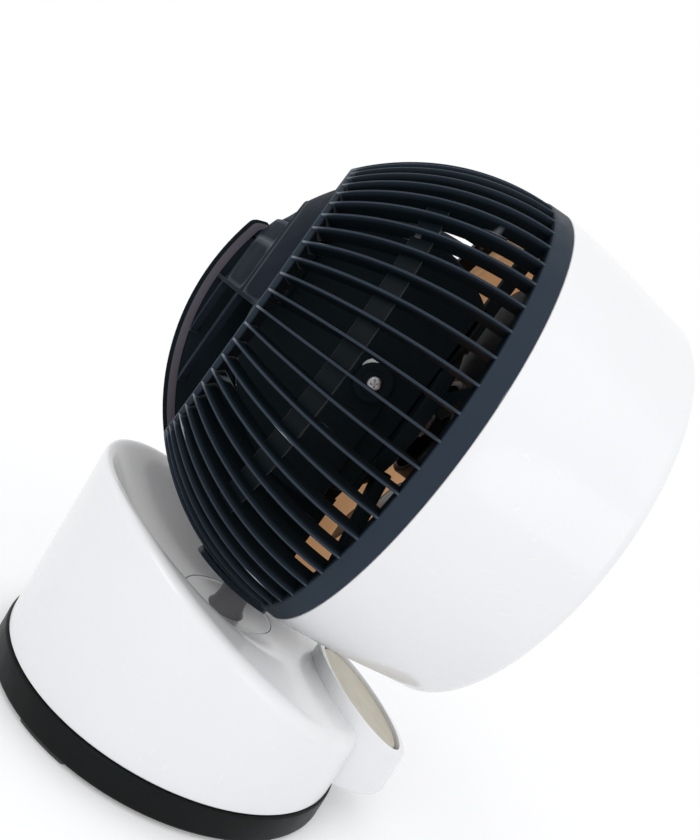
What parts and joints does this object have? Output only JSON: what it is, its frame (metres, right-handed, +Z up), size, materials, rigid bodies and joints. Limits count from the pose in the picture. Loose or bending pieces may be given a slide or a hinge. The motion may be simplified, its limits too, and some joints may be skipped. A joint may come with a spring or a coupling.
{
  "type": "air circulator fan",
  "caption": "Tabletop air circulator: ribbed spherical rear grille and plain round ring on a swivelling, tilting neck over a dished drum base with a front dial.",
  "frame": {"origin": "middle of the object's footprint, on the floor; the swivel axis stands 14.45 mm behind it", "axes": "+Z up, front of the fan (air outlet and control dial) towards -Y, +X to the right for someone behind the fan"},
  "size_m": [0.2396, 0.2142, 0.314],
  "materials": {
    "white_shell": "gloss",
    "navy_grille": "satin",
    "navy_inner": "satin",
    "black_base": "satin",
    "dial_face": "satin metallic",
    "screw_steel": "bright",
    "foot_rubber": "matte",
    "blade_smoke": "satin"
  },
  "bodies": {
    "base": {"base_plate": "black_base", "foot_1": "foot_rubber", "foot_2": "foot_rubber", "foot_3": "foot_rubber", "foot_4": "foot_rubber", "base_shell": "white_shell", "power_inlet": "black_base", "dial_encoder": "black_base"},
    "dial": {"control_dial": "dial_face"},
    "turret": {"neck_yoke": "navy_inner", "swivel_clip": "screw_steel"},
    "head": {"rear_grille": "navy_grille", "rear_cap": "navy_grille", "slot_chute": "navy_grille", "slot_shoe": "navy_grille", "ring_housing": "white_shell", "air_duct": "navy_inner", "front_grille": "white_shell", "motor_housing": "navy_inner", "pivot_screw_right": "screw_steel", "pivot_screw_left": "screw_steel", "pivot_disc_right": "black_base", "pivot_disc_left": "black_base", "pivot_washer_right": "screw_steel", "pivot_washer_left": "screw_steel"},
    "rotor": {"impeller": "blade_smoke", "motor_shaft": "screw_steel", "spinner_nut": "blade_smoke"}
  },
  "joints": [
    {"name": "dial_turn", "type": "hinge", "parent": "base", "child": "dial", "pos_m": [0, -0.07255, 0.0536], "axis": [0, -0.3665, 0.9304], "continuous": true},
    {"name": "swivel", "type": "hinge", "parent": "base", "child": "turret", "pos_m": [0, 0.01445, 0.0606], "axis": [0, 0, 1], "range_deg": [-45, 45]},
    {"name": "tilt", "type": "hinge", "parent": "turret", "child": "head", "pos_m": [0, 0.01745, 0.1992], "axis": [-1, 0, 0], "range_deg": [-1, 95]},
    {"name": "blade_spin", "type": "hinge", "parent": "head", "child": "rotor", "pos_m": [0, -0.01127, 0.19468], "axis": [0, 0.9962, 0.0872], "continuous": true}
  ]
}
